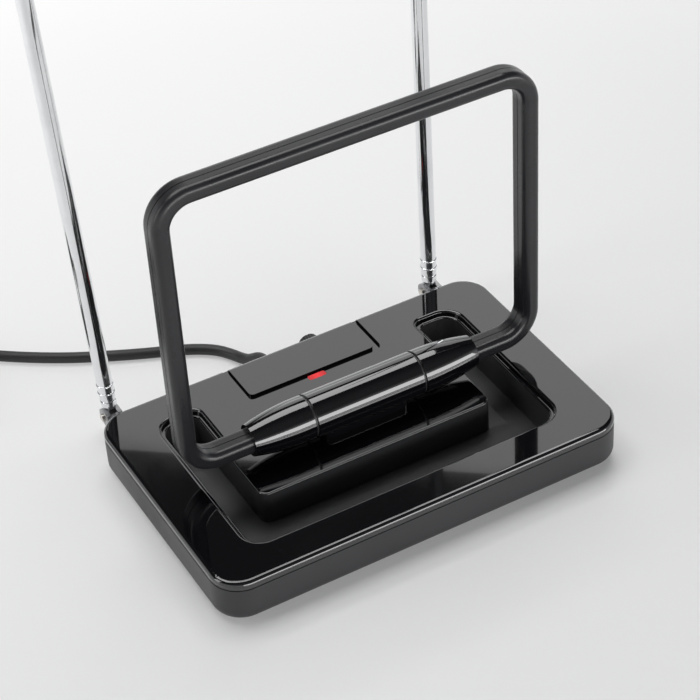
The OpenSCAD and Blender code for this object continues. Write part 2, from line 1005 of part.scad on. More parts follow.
// round tube swept along a path, first and last give the end directions
module tube(p, r, n, first, last) {
    m = len(p);
    dirs = [for (i = [0:m - 1]) i == 0 ? first : i == m - 1 ? last : unit(p[i + 1] - p[i - 1])];
    pts = [for (i = [0:m - 1]) let (a = unit(cross(dirs[i], [0, 0, 1])), b = cross(a, dirs[i]))
        for (j = [0:n - 1]) p[i] + r * (cos(360 * j / n) * a + sin(360 * j / n) * b)];
    sides = [for (i = [0:m - 2]) for (j = [0:n - 1])
        [i * n + j, (i + 1) * n + j, (i + 1) * n + (j + 1) % n, i * n + (j + 1) % n]];
    ends = [[for (j = [0:n - 1]) j], [for (j = [0:n - 1]) m * n - 1 - j]];
    polyhedron(points = pts, faces = concat(sides, ends));
}

module coax_cable() {
    color([0.05, 0.05, 0.055])
        translate([0, yo, 0])
            tube(smooth(route, 3), cable_d / 2, 12, [0, 1, 0], [-0.7373, 0.6756, 0]);
}

module coax_tail() {
    color([0.05, 0.05, 0.055])
        translate([0, yo, 0])
            tube(smooth(tail, 3), cable_d / 2, 12, [0, -1, 0], [0, -1, 0]);
}

module cable_coil() {
    g = 4.98;
    color([0.05, 0.05, 0.055])
        translate([coil_c[0], coil_c[1] + yo, turn_z])
            rotate_extrude($fn = 96)
                for (p = [[-1.5 * g, 0], [-g / 2, 0], [g / 2, 0], [1.5 * g, 0],
                        [-g / 2, g], [g / 2, g], [1.5 * g, g]])
                    translate([turn_r + p[0], p[1]])
                        circle(r = 2.5);
}

module cable_tie() {
    color([0.1, 0.1, 0.11])
        translate([coil_c[0], coil_c[1] + yo, turn_z + 2.49])
            rotate([0, 0, 300])
                translate([turn_r, 2, 0])
                    rotate([90, 0, 0])
                        linear_extrude(height = 4)
                            difference() {
                                rrect(21.5, 11.6, 2.9);
                                rrect(20.1, 10.2, 2.2);
                            }
}

module plug_sleeve() {
    color([0.05, 0.05, 0.055])
        translate([plug_x, plug_y + yo, plug_z])
            rotate([90, 0, 0])
                rotate_extrude()
                    polygon([[0, 0], [3, 0], [3.4, 1], [3.6, 8], [5.2, 11], [5.5, 12], [5.5, 24],
                        [5.2, 25], [0, 25]]);
}

module plug_shell() {
    color(steel)
        translate([plug_x, plug_y - 25 + yo, plug_z])
            rotate([90, 0, 0])
                difference() {
                    cylinder(r = 4.5, h = 11.5);
                    translate([0, 0, 1.5])
                        cylinder(r = 4, h = 12);
                    for (a = [45, 135])
                        rotate([0, 0, a])
                            translate([-6, -0.3, 3])
                                cube([12, 0.6, 10]);
                }
}

module plug_pin() {
    color(brass)
        translate([plug_x, plug_y - 26.5 + yo, plug_z])
            rotate([90, 0, 0]) {
                cylinder(r = 2.4, h = 2);
                cylinder(r = 1.15, h = 9.4);
                translate([0, 0, 9.4])
                    sphere(r = 1.15);
            }
}

top_cover();
base_tray();
foot_front_left();
foot_front_right();
foot_rear_left();
foot_rear_right();
case_screws();
ballast_plate();
circuit_board();
board_screws();
shield_can();
led_chip();
led_window();
gain_pot();
gain_shaft();
gain_knob();
coax_clamp();
cable_gland();
hub_barrel();
hub_screws();
washer_left();
washer_right();
spindle();
taper_left();
taper_right();
loop_front_shell();
loop_rear_shell();
loop_conductor();
rod_left_stub();
rod_left_nut();
rod_left_wire();
rod_left_rivet();
rod_left_section_1();
rod_left_section_2();
rod_left_section_3();
rod_left_section_4();
rod_left_section_5();
rod_left_tip();
rod_right_stub();
rod_right_nut();
rod_right_wire();
rod_right_rivet();
rod_right_section_1();
rod_right_section_2();
rod_right_section_3();
rod_right_section_4();
rod_right_section_5();
rod_right_tip();
coax_cable();
cable_coil();
cable_tie();
coax_tail();
plug_sleeve();
plug_shell();
plug_pin();
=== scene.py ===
"""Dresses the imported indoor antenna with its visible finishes, its cable and a plain pale studio."""

import logging
import math
from dataclasses import dataclass
from enum import Enum
from typing import Any, Optional, Sequence, Union

import bmesh
import bpy
from mathutils import Matrix, Vector


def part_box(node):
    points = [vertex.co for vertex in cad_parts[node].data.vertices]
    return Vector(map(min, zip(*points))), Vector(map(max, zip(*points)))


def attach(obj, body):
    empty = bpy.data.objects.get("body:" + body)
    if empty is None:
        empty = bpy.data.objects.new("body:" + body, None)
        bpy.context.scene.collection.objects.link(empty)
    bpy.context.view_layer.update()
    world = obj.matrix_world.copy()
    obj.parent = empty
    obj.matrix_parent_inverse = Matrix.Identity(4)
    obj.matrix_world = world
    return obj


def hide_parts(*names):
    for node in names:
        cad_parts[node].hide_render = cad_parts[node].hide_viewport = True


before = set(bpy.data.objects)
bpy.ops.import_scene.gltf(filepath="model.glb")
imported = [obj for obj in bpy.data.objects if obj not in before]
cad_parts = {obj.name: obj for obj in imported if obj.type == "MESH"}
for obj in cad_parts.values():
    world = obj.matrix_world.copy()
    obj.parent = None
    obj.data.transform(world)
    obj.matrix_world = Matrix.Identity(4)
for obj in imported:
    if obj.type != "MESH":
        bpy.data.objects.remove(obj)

log = logging.getLogger("antenna")
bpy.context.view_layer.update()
MM = 0.001
Point = Sequence[float]
Colour = tuple[float, float, float]
Range = tuple[float, float]


def ease(share: float) -> float:
    """A share from zero to one that starts and stops gently."""
    return share * share * (3 - 2 * share)


def report(piece: bpy.types.Object, note: str) -> bpy.types.Object:
    """Logs one finished piece.

    Args:
        piece: the object that was made or dressed.
        note: what it is, in a few words.

    Returns:
        The same piece.
    """
    log.info("%s: %s", piece.name, note)
    return piece


# ---------------------------------------------------------------- shader kit


class Wire:
    """One node socket that takes part in Python expressions."""

    def __init__(self, sheet: "Sheet", socket: bpy.types.NodeSocket) -> None:
        """Wraps an output socket of one material sheet."""
        self.sheet = sheet
        self.socket = socket

    def _math(self, operation: str, first: "Value", second: "Value") -> "Wire":
        """Adds one Math node.

        Args:
            operation: the node's operation name.
            first: its first value.
            second: its second value.

        Returns:
            The node's result.
        """
        return self.sheet.node("ShaderNodeMath", {"operation": operation}, {0: first, 1: second})

    def __add__(self, other: "Value") -> "Wire":
        """Sum."""
        return self._math("ADD", self, other)

    __radd__ = __add__

    def __sub__(self, other: "Value") -> "Wire":
        """Difference."""
        return self._math("SUBTRACT", self, other)

    def __rsub__(self, other: "Value") -> "Wire":
        """Difference with the value on the left."""
        return self._math("SUBTRACT", other, self)

    def __mul__(self, other: "Value") -> "Wire":
        """Product."""
        return self._math("MULTIPLY", self, other)

    __rmul__ = __mul__

    def __pow__(self, other: "Value") -> "Wire":
        """Power."""
        return self._math("POWER", self, other)

    def clamp(self) -> "Wire":
        """The value held between zero and one."""
        return self.sheet.node("ShaderNodeClamp", {}, {0: self})

    def out(self, name: str) -> "Wire":
        """Another output of the same node, by name."""
        return Wire(self.sheet, self.socket.node.outputs[name])


Value = Union[Wire, float, int, Sequence[float]]


class Sheet:
    """The node sheet of one material, or of the studio's surroundings."""

    def __init__(self, name: str, sky: bool = False) -> None:
        """Starts an empty sheet of that name with its output.

        Args:
            name: name of the material or surroundings.
            sky: true for surroundings.
        """
        self.material = (bpy.data.worlds if sky else bpy.data.materials).new(name)
        self.material.use_nodes = True
        self.tree = self.material.node_tree
        self.tree.nodes.clear()
        self.output = self.tree.nodes.new("ShaderNodeOutputWorld" if sky else "ShaderNodeOutputMaterial")

    def node(self, kind: str, settings: Optional[dict[str, Any]] = None,
             sockets: Optional[dict[Union[str, int], Value]] = None) -> Wire:
        """Adds any node.

        Args:
            kind: the node's type name.
            settings: its properties, set first.
            sockets: values or links by input name or number.

        Returns:
            The node's first enabled output.
        """
        made = self.tree.nodes.new(kind)
        for key, value in (settings or {}).items():
            setattr(made, key, value)
        for key, value in (sockets or {}).items():
            target = made.inputs[key]
            if isinstance(value, Wire):
                self.tree.links.new(value.socket, target)
            elif target.type == "RGBA" and not isinstance(value, (int, float)) and len(value) == 3:
                target.default_value = (*value, 1.0)
            else:
                target.default_value = value
        outputs = [o for o in made.outputs if o.enabled]
        return Wire(self, outputs[0])

    def spot(self) -> Wire:
        """The point on the piece, in metres."""
        return self.node("ShaderNodeTexCoord").out("Object")

    def parts(self, point: Wire) -> Wire:
        """A point's three numbers, each taken by out("X") and so on."""
        return self.node("ShaderNodeSeparateXYZ", {}, {0: point})

    def place(self, scale: Point = (1.0, 1.0, 1.0)) -> Wire:
        """The point on the piece in metres, stretched by a scale.

        Args:
            scale: factor along each axis.

        Returns:
            The scaled object coordinate.
        """
        return self.node("ShaderNodeMapping", {}, {"Vector": self.spot(), "Scale": scale})

    def noise(self, scale: float, detail: float = 2.0, stretch: Point = (1.0, 1.0, 1.0)) -> Wire:
        """Soft noise from zero to one.

        Args:
            scale: grains per metre.
            detail: how many finer layers it has.
            stretch: factor along each axis.

        Returns:
            The noise value.
        """
        return self.node("ShaderNodeTexNoise", {},
                         {"Vector": self.place(stretch), "Scale": scale, "Detail": detail})

    def band(self, value: Wire, low: float, high: float, to_low: float = 0.0, to_high: float = 1.0) -> Wire:
        """Maps a range of a value smoothly onto another.

        Args:
            value: what is mapped.
            low: start of the incoming range.
            high: end of the incoming range.
            to_low: value at the start.
            to_high: value at the end.

        Returns:
            The mapped value.
        """
        return self.node("ShaderNodeMapRange", {"interpolation_type": "SMOOTHSTEP"},
                         {"Value": value, "From Min": low, "From Max": high,
                          "To Min": to_low, "To Max": to_high})

    def tint(self, mask: Value, dark: Point, light: Point) -> Wire:
        """Mixes two colours.

        Args:
            mask: zero for the first colour, one for the second.
            dark: the first colour.
            light: the second colour.

        Returns:
            The mixed colour.
        """
        return self.node("ShaderNodeMix", {"data_type": "RGBA"}, {"Factor": mask, 6: dark, 7: light})

    def bump(self, height: Wire, strength: float, depth: float) -> Wire:
        """Turns a height into a surface normal.

        Args:
            height: the height, in units of depth.
            strength: how much of it shows.
            depth: height of one unit, in metres.

        Returns:
            The bumped normal.
        """
        return self.node("ShaderNodeBump", {}, {"Height": height, "Strength": strength, "Distance": depth})

    def shader(self, **sockets: Value) -> Wire:
        """A Principled shader; underscores in names stand for spaces."""
        return self.node("ShaderNodeBsdfPrincipled", {}, {k.replace("_", " "): v for k, v in sockets.items()})

    def done(self, surface: Wire) -> Union[bpy.types.Material, bpy.types.World]:
        """Joins the surface to the output and returns the material."""
        self.tree.links.new(surface.socket, self.output.inputs["Surface"])
        return self.material


# ------------------------------------------------------------------ finishes


CLOUD_RANGE: Range = (0.3, 0.7)


@dataclass(frozen=True)
class Finish:
    """A named surface finish."""

    name: str

    def material(self) -> bpy.types.Material:
        """The finish's material, made once."""
        known = bpy.data.materials.get(self.name)
        return known if known else self.paint(Sheet(self.name))

    def paint(self, s: Sheet) -> bpy.types.Material:
        """Fills an empty sheet.

        Args:
            s: the sheet to fill.

        Returns:
            The finished material.
        """
        raise NotImplementedError


@dataclass(frozen=True)
class PianoBlack(Finish):
    """Polished black plastic with faint wiping marks and a trace of dust, rougher, duller and less coated
    below a height, where its lighter colour is painted light for the shaded well.
    """

    colour: Colour = (0.0022, 0.0022, 0.003)
    # Colour of the rough zone below satin_below: partly its own dull grey, partly painted light that stands
    # in for light on the shaded well faces.
    satin_painted_light_colour: Colour = (0.028, 0.028, 0.03)
    dust_colour: Colour = (0.05, 0.05, 0.052)
    satin_below: float = -1.0
    satin_rough: float = 0.45
    satin_coat_loss: float = 0.8
    polish: float = 0.035
    haze_grain: float = 26.0
    haze_range: Range = (0.35, 0.7)
    haze_gain: float = 2.2
    wipe_grain: float = 900.0
    wipe_stretch: Colour = (1.0, 0.06, 1.0)
    wipe_rough: float = 0.012
    dust_grain: float = 2400.0
    dust_range: Range = (0.72, 0.8)
    dust_rough: float = 0.12
    dust_cover: float = 0.35
    wave_grain: float = 18.0
    wave_strength: float = 0.15
    wave_depth: float = 0.001

    def paint(self, s: Sheet) -> bpy.types.Material:
        """Fills the sheet.

        Args:
            s: the sheet to fill.

        Returns:
            The finished material.
        """
        haze = s.noise(self.haze_grain, 4.0)
        wipe = s.noise(self.wipe_grain, 2.0, self.wipe_stretch)
        dust = s.band(s.noise(self.dust_grain, 1.0), *self.dust_range)
        clean = s.band(haze, *self.haze_range, self.polish, self.polish * self.haze_gain)
        rough = clean + wipe * self.wipe_rough + dust * self.dust_rough
        wave = s.noise(self.wave_grain, 1.0)
        height = s.parts(s.spot()).out("Z")
        # Mask of the rough zone below satin_below: it makes that zone rougher and less coated, and also
        # lightens its colour there as painted light for the shaded well.
        satin_and_painted_light = s.band(height, self.satin_below - 0.0004, self.satin_below + 0.0001, 1.0, 0.0)
        body = s.tint(satin_and_painted_light, self.colour, self.satin_painted_light_colour)
        return s.done(s.shader(
            Base_Color=s.tint(dust * self.dust_cover, body, self.dust_colour),
            Roughness=rough + satin_and_painted_light * self.satin_rough,
            Normal=s.bump(wave, self.wave_strength, self.wave_depth), IOR=1.52,
            Coat_Weight=1.0 - satin_and_painted_light * self.satin_coat_loss, Coat_Roughness=0.02, Coat_IOR=1.5))


@dataclass(frozen=True)
class SatinBlack(Finish):
    """Moulded black plastic with a fine spark texture."""

    colour: Colour = (0.02, 0.02, 0.0215)
    worn: Colour = (0.03, 0.03, 0.032)
    rough: float = 0.36
    grain: float = 5200.0
    relief: float = 0.00003
    grain_strength: float = 0.35
    grain_rough: float = 0.05
    cloud_grain: float = 30.0
    cloud_rough: Range = (-0.04, 0.06)

    def paint(self, s: Sheet) -> bpy.types.Material:
        """Fills the sheet.

        Args:
            s: the sheet to fill.

        Returns:
            The finished material.
        """
        grain = s.noise(self.grain, 2.0)
        cloud = s.noise(self.cloud_grain, 3.0)
        smooth, dull = (self.rough + change for change in self.cloud_rough)
        return s.done(s.shader(Base_Color=s.tint(cloud, self.colour, self.worn),
                               Roughness=s.band(cloud, *CLOUD_RANGE, smooth, dull) + grain * self.grain_rough,
                               Normal=s.bump(grain, self.grain_strength, self.relief), IOR=1.5))


@dataclass(frozen=True)
class BrightChrome(Finish):
    """Polished plating with fine draw lines along the rods and a few finger marks."""

    colour: Colour = (0.86, 0.87, 0.88)
    marked: Colour = (0.74, 0.75, 0.77)
    rough: float = 0.06
    line_grain: float = 2600.0
    line_stretch: Colour = (1.0, 1.0, 0.015)
    line_rough: float = 0.05
    line_strength: float = 0.1
    line_depth: float = 0.00001
    mark_grain: float = 70.0
    mark_range: Range = (0.48, 0.72)
    mark_rough: float = 0.07
    mark_cover: float = 0.5

    def paint(self, s: Sheet) -> bpy.types.Material:
        """Fills the sheet.

        Args:
            s: the sheet to fill.

        Returns:
            The finished material.
        """
        lines = s.noise(self.line_grain, 2.0, self.line_stretch)
        marks = s.band(s.noise(self.mark_grain, 3.0), *self.mark_range)
        return s.done(s.shader(Base_Color=s.tint(marks * self.mark_cover, self.colour, self.marked),
                               Metallic=1.0,
                               Roughness=self.rough + lines * self.line_rough + marks * self.mark_rough,
                               Normal=s.bump(lines, self.line_strength, self.line_depth)))


@dataclass(frozen=True)
class PlainMetal(Finish):
    """Bare or plated metal with turning marks and light tarnish."""

    colour: Colour = (0.6, 0.6, 0.62)
    stain: Colour = (0.42, 0.41, 0.4)
    rough: float = 0.28
    cloud_grain: float = 180.0
    stain_range: Range = (0.45, 0.75)
    stain_rough: float = 0.16
    fine_grain: float = 5000.0
    fine_rough: float = 0.06
    fine_strength: float = 0.2
    fine_depth: float = 0.00001

    def paint(self, s: Sheet) -> bpy.types.Material:
        """Fills the sheet.

        Args:
            s: the sheet to fill.

        Returns:
            The finished material.
        """
        cloud = s.noise(self.cloud_grain, 4.0)
        fine = s.noise(self.fine_grain, 1.0)
        dull = s.band(cloud, *CLOUD_RANGE, self.rough, self.rough + self.stain_rough)
        return s.done(s.shader(Base_Color=s.tint(s.band(cloud, *self.stain_range), self.colour, self.stain),
                               Metallic=1.0, Roughness=dull + fine * self.fine_rough,
                               Normal=s.bump(fine, self.fine_strength, self.fine_depth)))


@dataclass(frozen=True)
class SoftVinyl(Finish):
    """Flexible cable jacket with an extruded sheen."""

    colour: Colour = (0.018, 0.018, 0.019)
    worn: Colour = (0.03, 0.03, 0.031)
    rough: float = 0.42
    cloud_grain: float = 60.0
    cloud_rough: float = 0.12
    fine_grain: float = 3800.0
    fine_strength: float = 0.25
    fine_depth: float = 0.00002

    def paint(self, s: Sheet) -> bpy.types.Material:
        """Fills the sheet.

        Args:
            s: the sheet to fill.

        Returns:
            The finished material.
        """
        cloud = s.noise(self.cloud_grain, 3.0)
        fine = s.noise(self.fine_grain, 2.0)
        dull = s.band(cloud, *CLOUD_RANGE, self.rough, self.rough + self.cloud_rough)
        return s.done(s.shader(Base_Color=s.tint(cloud, self.colour, self.worn), Roughness=dull,
                               Normal=s.bump(fine, self.fine_strength, self.fine_depth), IOR=1.48))


@dataclass(frozen=True)
class LitRed(Finish):
    """Translucent red window with the light behind it, brighter at the middle."""

    colour: Colour = (0.5, 0.006, 0.01)
    edge_colour: Colour = (0.3, 0.002, 0.004)
    glow_colour: Colour = (1.0, 0.012, 0.02)
    edge_glow: Colour = (0.3, 0.0, 0.002)
    glow_reach: float = 0.0045
    glow_at_edge: float = 0.25
    speckle_grain: float = 700.0
    speckle: Range = (0.85, 0.3)
    rough: float = 0.22
    glow_rough: float = 0.05
    strength: float = 0.5

    def paint(self, s: Sheet) -> bpy.types.Material:
        """Fills the sheet.

        Args:
            s: the sheet to fill.

        Returns:
            The finished material.
        """
        low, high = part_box("led_window")
        middle = (low + high) / 2
        away = s.node("ShaderNodeVectorMath", {"operation": "DISTANCE"},
                      {0: s.spot(), 1: (middle.x, middle.y, high.z)}).out("Value")
        base, swing = self.speckle
        fade = s.band(away, 0.0, self.glow_reach, 1.0, self.glow_at_edge)
        glow = fade * (base + s.noise(self.speckle_grain) * swing)
        return s.done(s.shader(Base_Color=s.tint(glow, self.edge_colour, self.colour),
                               Roughness=self.rough + glow * self.glow_rough,
                               Emission_Color=s.tint(glow, self.edge_glow, self.glow_colour),
                               Emission_Strength=self.strength, IOR=1.49))


@dataclass(frozen=True)
class GreenBoard(Finish):
    """Solder mask over faint copper traces."""

    mask: Colour = (0.01, 0.09, 0.035)
    trace: Colour = (0.02, 0.15, 0.06)
    trace_grain: float = 260.0
    trace_stretch: Colour = (1.0, 0.2, 1.0)
    trace_range: Range = (0.5, 0.53)
    trace_strength: float = 0.5
    trace_depth: float = 0.00004
    rough: float = 0.3
    trace_rough: float = 0.1

    def paint(self, s: Sheet) -> bpy.types.Material:
        """Fills the sheet.

        Args:
            s: the sheet to fill.

        Returns:
            The finished material.
        """
        trace = s.band(s.noise(self.trace_grain, 1.0, self.trace_stretch), *self.trace_range)
        return s.done(s.shader(Base_Color=s.tint(trace, self.mask, self.trace),
                               Roughness=self.rough + trace * self.trace_rough,
                               Normal=s.bump(trace, self.trace_strength, self.trace_depth)))


class Finishes(Enum):
    """Every finish on the antenna."""

    GLOSS = PianoBlack("piano_black")
    COVER = PianoBlack("piano_black_cover", satin_below=0.0195)
    SATIN = SatinBlack("satin_black")
    LOOP = SatinBlack("loop_satin", (0.011, 0.011, 0.0125), (0.016, 0.016, 0.018), 0.24, 6500.0, 0.000015)
    KNOB = SatinBlack("knob_black", (0.022, 0.022, 0.023), (0.034, 0.034, 0.035), 0.42)
    RUBBER = SatinBlack("foot_rubber_black", (0.016, 0.016, 0.016), (0.03, 0.03, 0.029), 0.62, 3000.0,
                        0.00006)
    NYLON = SatinBlack("nylon_black", (0.02, 0.02, 0.021), (0.028, 0.028, 0.03), 0.34)
    CHROME = BrightChrome("rod_chrome_bright")
    ZINC = PlainMetal("zinc_plate")
    TIN = PlainMetal("tin_plate", (0.66, 0.66, 0.65), (0.5, 0.5, 0.48), 0.22)
    NICKEL = PlainMetal("nickel_plate", (0.7, 0.67, 0.62), (0.55, 0.52, 0.47), 0.16)
    STEEL = PlainMetal("stub_steel", (0.4, 0.4, 0.41), (0.26, 0.26, 0.27), 0.24)
    BRASS = PlainMetal("pin_brass", (0.66, 0.47, 0.2), (0.4, 0.27, 0.12), 0.2)
    COPPER = PlainMetal("bare_copper", (0.7, 0.33, 0.19), (0.45, 0.22, 0.14), 0.25)
    ALUMINIUM = PlainMetal("drawn_aluminium", (0.76, 0.77, 0.79), (0.62, 0.63, 0.64), 0.25)
    VINYL = SoftVinyl("cable_vinyl")
    LED = LitRed("lit_red")
    CHIP = SatinBlack("chip_white", (0.7, 0.66, 0.52), (0.8, 0.77, 0.64), 0.4)
    BOARD = GreenBoard("green_board")


# ------------------------------------------------------------- CAD node dress


class NodeDress:
    """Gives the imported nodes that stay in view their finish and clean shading."""

    FINISH_OF: dict[str, Finishes] = {
        "top_cover": Finishes.COVER, "hub_barrel": Finishes.GLOSS, "taper_left": Finishes.GLOSS,
        "taper_right": Finishes.GLOSS, "base_tray": Finishes.SATIN, "loop_front_shell": Finishes.LOOP,
        "loop_rear_shell": Finishes.LOOP, "gain_knob": Finishes.KNOB, "gain_pot": Finishes.NYLON,
        "case_screws": Finishes.ZINC, "board_screws": Finishes.ZINC, "hub_screws": Finishes.ZINC,
        "spindle": Finishes.ZINC, "ballast_plate": Finishes.ZINC, "coax_clamp": Finishes.TIN,
        "shield_can": Finishes.TIN, "gain_shaft": Finishes.ZINC, "circuit_board": Finishes.BOARD,
        "led_chip": Finishes.CHIP, "led_window": Finishes.LED, "cable_gland": Finishes.VINYL,
        "plug_sleeve": Finishes.VINYL, "cable_tie": Finishes.NYLON, "washer_left": Finishes.NYLON,
        "washer_right": Finishes.NYLON, "loop_conductor": Finishes.ALUMINIUM, "plug_shell": Finishes.NICKEL,
        "plug_pin": Finishes.BRASS}
    FINISH_OF_ENDING: dict[str, Finishes] = {
        "_wire": Finishes.COPPER, "_rivet": Finishes.NICKEL, "_nut": Finishes.ZINC, "_stub": Finishes.STEEL,
        "_tip": Finishes.CHROME, "_1": Finishes.CHROME, "_2": Finishes.CHROME, "_3": Finishes.CHROME,
        "_4": Finishes.CHROME, "_5": Finishes.CHROME}

    SHARP_DEGREES = 28.0
    FACE_WEIGHT = 50

    def finish_for(self, name: str) -> Finishes:
        """Looks up a node's finish.

        Args:
            name: the node's name.

        Returns:
            Its finish, cable vinyl where nothing else fits.
        """
        if name in self.FINISH_OF:
            return self.FINISH_OF[name]
        if name.startswith("foot_"):
            return Finishes.RUBBER
        return next((f for end, f in self.FINISH_OF_ENDING.items() if name.endswith(end)), Finishes.VINYL)

    def dress(self, node: bpy.types.Object) -> None:
        """Shades one node smoothly between its sharp edges and gives it its finish.

        Args:
            node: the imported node's object.
        """
        node.data.polygons.foreach_set("use_smooth", [True] * len(node.data.polygons))
        node.data.set_sharp_from_angle(angle=math.radians(self.SHARP_DEGREES))
        even = node.modifiers.new("even_normals", "WEIGHTED_NORMAL")
        even.mode = "FACE_AREA"
        even.weight = self.FACE_WEIGHT
        even.keep_sharp = True
        node.data.materials.clear()
        node.data.materials.append(self.finish_for(node.name).value.material())
        report(node, f"finish {self.finish_for(node.name).name.lower()}")


# ----------------------------------------------------------------- rod trim


class RodSide(Enum):
    """Each rod's side name, its sign along X and its lean in degrees."""

    LEFT = ("left", -1.0, -2.4)
    RIGHT = ("right", 1.0, 0.0)


@dataclass
class RodTrim:
    """The beads and rolled lips turned on one telescopic rod, in millimetres from its rivet."""

    rod: RodSide
    rivet: tuple[float, float, float] = (79.5, 65.5, 8.5)
    widths: tuple[float, ...] = (7.0, 5.8, 4.7, 3.6, 2.6)
    first_top: float = 232.0
    top_step: float = 2.4
    bead_heights: tuple[float, ...] = (13.6, 17.8)
    bead_round: float = 0.42
    bead_sink: float = 0.08
    bead_corners: int = 14
    lip_gap: float = 0.06
    lip_outside: tuple[Range, ...] = ((-0.3, -0.3), (-0.1, -1.3), (0.02, -1.25), (0.12, -0.9), (0.12, -0.3),
                                      (0.0, -0.02), (-0.2, 0.12))
    lip_inside: tuple[Range, ...] = ((0.1, 0.16), (0.0, 0.05), (0.02, -0.12))
    steps: int = 48

    def ring(self, name: str, outlines: list[list[tuple[float, float]]], body: str) -> bpy.types.Object:
        """Turns closed outlines about the rod's axis.

        Args:
            name: the piece's name.
            outlines: closed loops of (radius, height) in millimetres.
            body: the body that it rides on.

        Returns:
            The turned piece.
        """
        mesh = bmesh.new()
        for outline in outlines:
            loops = []
            for i in range(self.steps):
                turn = 2 * math.pi * i / self.steps
                loops.append([mesh.verts.new((r * MM * math.cos(turn), r * MM * math.sin(turn), z * MM))
                              for r, z in outline])
            for i, here in enumerate(loops):
                there = loops[(i + 1) % self.steps]
                for k in range(len(outline)):
                    n = (k + 1) % len(outline)
                    mesh.faces.new((here[k], there[k], there[n], here[n])).smooth = True
        bmesh.ops.recalc_face_normals(mesh, faces=mesh.faces)
        _, sign, lean = self.rod.value
        out, back, up = self.rivet
        tilt = Matrix.Rotation(math.radians(lean), 4, "Y")
        place = Matrix.Translation(Vector((sign * out, back, up)) * MM) @ tilt
        bmesh.ops.transform(mesh, matrix=place, verts=mesh.verts)
        data = bpy.data.meshes.new(name)
        mesh.to_mesh(data)
        mesh.free()
        piece = bpy.data.objects.new(name, data)
        bpy.context.scene.collection.objects.link(piece)
        data.materials.append(Finishes.CHROME.value.material())
        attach(piece, body)
        return piece

    def bead(self, height: float) -> list[tuple[float, float]]:
        """Outline of one half-round bead on the widest section.

        Args:
            height: the bead's height up the rod.

        Returns:
            A closed loop of (radius, height).
        """
        middle = self.widths[0] / 2 - self.bead_sink
        turns = (2 * math.pi * k / self.bead_corners for k in range(self.bead_corners))
        size = self.bead_round
        return [(middle + size * math.cos(a), height + size * math.sin(a)) for a in turns]

    def lip(self, number: int) -> list[tuple[float, float]]:
        """Outline of the lip that is rolled in over the end of one section.

        Args:
            number: the section, zero for the widest.

        Returns:
            A closed loop of (radius, height).
        """
        outer, inner = self.widths[number] / 2, self.widths[number + 1] / 2 + self.lip_gap
        top = self.first_top + self.top_step * number
        outside = [(outer + r, top + z) for r, z in self.lip_outside]
        return outside + [(inner + r, top + z) for r, z in self.lip_inside]

    def build(self) -> None:
        """Makes the beads and the four lips."""
        rod = f"rod_{self.rod.value[0]}"
        beads = self.ring(f"{rod}_beads", [self.bead(h) for h in self.bead_heights], f"{rod}_stage_1")
        report(beads, "turned beads")
        for number in range(len(self.widths) - 1):
            stage = number + 1
            report(self.ring(f"{rod}_lip_{stage}", [self.lip(number)], f"{rod}_stage_{stage}"), "rolled lip")


# --------------------------------------------------------------------- cable


